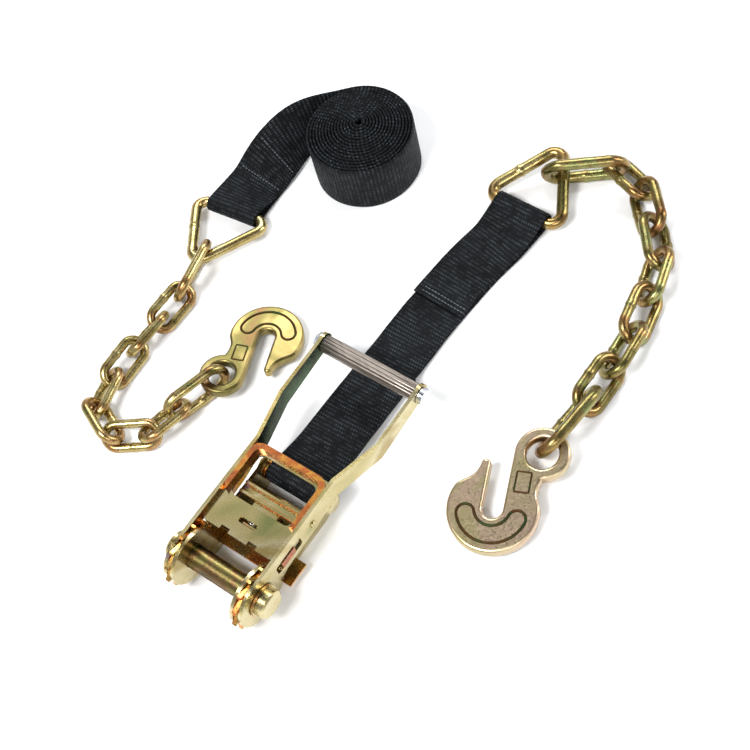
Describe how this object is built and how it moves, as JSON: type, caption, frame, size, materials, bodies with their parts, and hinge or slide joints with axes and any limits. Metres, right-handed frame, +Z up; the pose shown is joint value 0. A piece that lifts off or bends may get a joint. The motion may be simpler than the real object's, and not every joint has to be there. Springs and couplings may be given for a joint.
{
  "type": "ratchet tie-down strap with chain anchors",
  "caption": "Two-inch ratchet tie-down in two parts: ratchet with a fixed strap, and a long rolled strap, each ending in a delta ring, a short chain and a grab hook",
  "frame": {"origin": "Middle of the footprint, on the surface that everything lies on", "axes": "+Z up; +X runs along the long side of the layout, from the chain beside the roll to the chain beside the ratchet; +Y points away from the viewer. The ratchet handle points about 39 degrees from +X towards +Y"},
  "size_m": [0.5126, 0.4504, 0.0553],
  "materials": {
    "ratchet_zinc": "yellow zinc plate on pressed steel",
    "chain_zinc": "yellow zinc plate on welded chain",
    "hook_zinc": "yellow zinc plate on forged steel",
    "bright_steel": "bright zinc bolt and nut",
    "grip_steel": "satin fluted tube",
    "spring_steel": "drawn wire",
    "webbing": "ribbed black polyester webbing"
  },
  "bodies": {
    "base": {"base_frame": "ratchet_zinc", "anchor_bolt": "ratchet_zinc", "anchor_nut": "ratchet_zinc", "anchor_sleeve": "ratchet_zinc", "anchor_washer_left": "ratchet_zinc", "anchor_washer_right": "ratchet_zinc", "locking_pawl_spring": "spring_steel"},
    "handle": {"handle_frame": "ratchet_zinc", "handle_grip_tube": "grip_steel", "handle_grip_bolt": "bright_steel", "handle_grip_nut": "bright_steel", "drive_pawl_spring": "spring_steel"},
    "drive_pawl": {"drive_pawl": "ratchet_zinc"},
    "locking_pawl": {"locking_pawl": "ratchet_zinc"},
    "spindle": {"spindle_half_upper": "ratchet_zinc", "spindle_half_lower": "ratchet_zinc", "ratchet_wheel_left": "ratchet_zinc", "ratchet_wheel_right": "ratchet_zinc", "spindle_washer_left": "ratchet_zinc", "spindle_washer_right": "ratchet_zinc", "spindle_cap_left": "ratchet_zinc", "spindle_cap_right": "ratchet_zinc"},
    "fixed_strap": {"fixed_strap": "webbing"},
    "long_strap": {"long_strap": "webbing"},
    "delta_ring_short": {"delta_ring_short": "chain_zinc"},
    "short_link_1": {"short_link_1": "chain_zinc"},
    "short_link_2": {"short_link_2": "chain_zinc"},
    "short_link_3": {"short_link_3": "chain_zinc"},
    "short_link_4": {"short_link_4": "chain_zinc"},
    "short_link_5": {"short_link_5": "chain_zinc"},
    "short_link_6": {"short_link_6": "chain_zinc"},
    "short_link_7": {"short_link_7": "chain_zinc"},
    "short_link_8": {"short_link_8": "chain_zinc"},
    "short_link_9": {"short_link_9": "chain_zinc"},
    "grab_hook_short": {"grab_hook_short": "hook_zinc"},
    "delta_ring_long": {"delta_ring_long": "chain_zinc"},
    "long_link_1": {"long_link_1": "chain_zinc"},
    "long_link_2": {"long_link_2": "chain_zinc"},
    "long_link_3": {"long_link_3": "chain_zinc"},
    "long_link_4": {"long_link_4": "chain_zinc"},
    "long_link_5": {"long_link_5": "chain_zinc"},
    "long_link_6": {"long_link_6": "chain_zinc"},
    "long_link_7": {"long_link_7": "chain_zinc"},
    "long_link_8": {"long_link_8": "chain_zinc"},
    "long_link_9": {"long_link_9": "chain_zinc"},
    "grab_hook_long": {"grab_hook_long": "hook_zinc"}
  },
  "joints": [
    {"name": "handle_hinge", "type": "hinge", "parent": "base", "child": "handle", "pos_m": [-0.174, -0.17819, 0.02784], "axis": [0.628, -0.7782, 0], "range_deg": [0, 175]},
    {"name": "spindle_spin", "type": "hinge", "parent": "base", "child": "spindle", "pos_m": [-0.174, -0.17819, 0.02784], "axis": [-0.628, 0.7782, 0], "continuous": true},
    {"name": "drive_pawl_slide", "type": "slide", "parent": "handle", "child": "drive_pawl", "axis": [0.7782, 0.628, 0], "range_m": [0, 0.006], "stiffness_N_per_m": 300, "springref_m": -0.004, "deforming": ["drive_pawl_spring"]},
    {"name": "locking_pawl_slide", "type": "slide", "parent": "base", "child": "locking_pawl", "axis": [0.7782, 0.628, 0], "range_m": [0, 0.006], "stiffness_N_per_m": 300, "springref_m": -0.004, "deforming": ["locking_pawl_spring"]},
    {"name": "fixed_strap_hinge", "type": "hinge", "parent": "base", "child": "fixed_strap", "pos_m": [-0.1024, -0.12042, 0.01684], "axis": [0.628, -0.7782, 0], "range_deg": [0, 10]},
    {"name": "long_strap_move", "type": "slide", "parent": "base", "child": "long_strap", "axis": [0, 1, 0], "range_m": [0, 0.2]},
    {"name": "short_ring_hinge", "type": "hinge", "parent": "fixed_strap", "child": "delta_ring_short", "pos_m": [0.143, 0.06521, 0.00844], "axis": [0.6088, -0.7934, 0], "range_deg": [0, 15]},
    {"name": "short_link_1_hinge", "type": "hinge", "parent": "delta_ring_short", "child": "short_link_1", "pos_m": [0.18336, 0.08387, 0.01884], "axis": [-0.6088, 0.7934, 0], "range_deg": [0, 15]},
    {"name": "short_link_2_hinge", "type": "hinge", "parent": "short_link_1", "child": "short_link_2", "pos_m": [0.23265, 0.07637, 0.01524], "axis": [0, 0, -1], "range_deg": [-8, 10]},
    {"name": "short_link_3_hinge", "type": "hinge", "parent": "short_link_2", "child": "short_link_3", "pos_m": [0.24478, 0.04334, 0.01264], "axis": [0, 0, 1], "range_deg": [-12, 20]},
    {"name": "short_link_4_hinge", "type": "hinge", "parent": "short_link_3", "child": "short_link_4", "pos_m": [0.23786, 0.00789, 0.01324], "axis": [0, 0, -1], "range_deg": [-20, 14]},
    {"name": "short_link_5_hinge", "type": "hinge", "parent": "short_link_4", "child": "short_link_5", "pos_m": [0.23154, -0.02676, 0.01314], "axis": [0, 0, 1], "range_deg": [-14, 20]},
    {"name": "short_link_6_hinge", "type": "hinge", "parent": "short_link_5", "child": "short_link_6", "pos_m": [0.20961, -0.05537, 0.01324], "axis": [0, 0, -1], "range_deg": [-20, 18]},
    {"name": "short_link_7_hinge", "type": "hinge", "parent": "short_link_6", "child": "short_link_7", "pos_m": [0.18634, -0.08326, 0.01304], "axis": [0, 0, 1], "range_deg": [-20, 20]},
    {"name": "short_link_8_hinge", "type": "hinge", "parent": "short_link_7", "child": "short_link_8", "pos_m": [0.15932, -0.10711, 0.01314], "axis": [0, 0, -1], "range_deg": [-20, 20]},
    {"name": "short_link_9_hinge", "type": "hinge", "parent": "short_link_8", "child": "short_link_9", "pos_m": [0.13162, -0.12873, 0.01534], "axis": [0, 0, 1], "range_deg": [-20, 4]},
    {"name": "short_hook_hinge", "type": "hinge", "parent": "short_link_9", "child": "grab_hook_short", "pos_m": [0.08358, -0.16, 0.01744], "axis": [0, 0, -1], "range_deg": [-20, 20]},
    {"name": "long_ring_hinge", "type": "hinge", "parent": "long_strap", "child": "delta_ring_long", "pos_m": [-0.0916, 0.16241, 0.00804], "axis": [-0.7071, 0.7071, 0], "range_deg": [0, 15]},
    {"name": "long_link_1_hinge", "type": "hinge", "parent": "delta_ring_long", "child": "long_link_1", "pos_m": [-0.1279, 0.1235, 0.01544], "axis": [0.7071, -0.7071, 0], "range_deg": [0, 15]},
    {"name": "long_link_2_hinge", "type": "hinge", "parent": "long_link_1", "child": "long_link_2", "pos_m": [-0.15273, 0.09161, 0.01324], "axis": [0, 0, 1], "range_deg": [-20, 6]},
    {"name": "long_link_3_hinge", "type": "hinge", "parent": "long_link_2", "child": "long_link_3", "pos_m": [-0.17813, 0.07256, 0.01144], "axis": [0, 0, -1], "range_deg": [-18, 20]},
    {"name": "long_link_4_hinge", "type": "hinge", "parent": "long_link_3", "child": "long_link_4", "pos_m": [-0.20353, 0.05376, 0.01134], "axis": [0, 0, 1], "range_deg": [-20, 12]},
    {"name": "long_link_5_hinge", "type": "hinge", "parent": "long_link_4", "child": "long_link_5", "pos_m": [-0.22775, 0.0333, 0.01064], "axis": [0, 0, -1], "range_deg": [-20, 20]},
    {"name": "long_link_6_hinge", "type": "hinge", "parent": "long_link_5", "child": "long_link_6", "pos_m": [-0.24911, 0.00812, 0.01284], "axis": [0, 0, 1], "range_deg": [-20, 20]},
    {"name": "long_link_7_hinge", "type": "hinge", "parent": "long_link_6", "child": "long_link_7", "pos_m": [-0.23977, -0.02497, 0.01304], "axis": [0, 0, -1], "range_deg": [-12, 18]},
    {"name": "long_link_8_hinge", "type": "hinge", "parent": "long_link_7", "child": "long_link_8", "pos_m": [-0.20703, -0.03371, 0.01224], "axis": [0, 0, 1], "range_deg": [-20, 12]},
    {"name": "long_link_9_hinge", "type": "hinge", "parent": "long_link_8", "child": "long_link_9", "pos_m": [-0.1802, -0.0186, 0.01514], "axis": [0, 0, -1], "range_deg": [-6, 10]},
    {"name": "long_hook_hinge", "type": "hinge", "parent": "long_link_9", "child": "grab_hook_long", "pos_m": [-0.13612, -0.00098, 0.01664], "axis": [0, 0, 1], "range_deg": [-20, 20]}
  ],
  "couplings": [
    {"joint": "short_link_1_hinge", "follows": "short_ring_hinge", "ratio": 1},
    {"joint": "long_link_1_hinge", "follows": "long_ring_hinge", "ratio": 1}
  ]
}
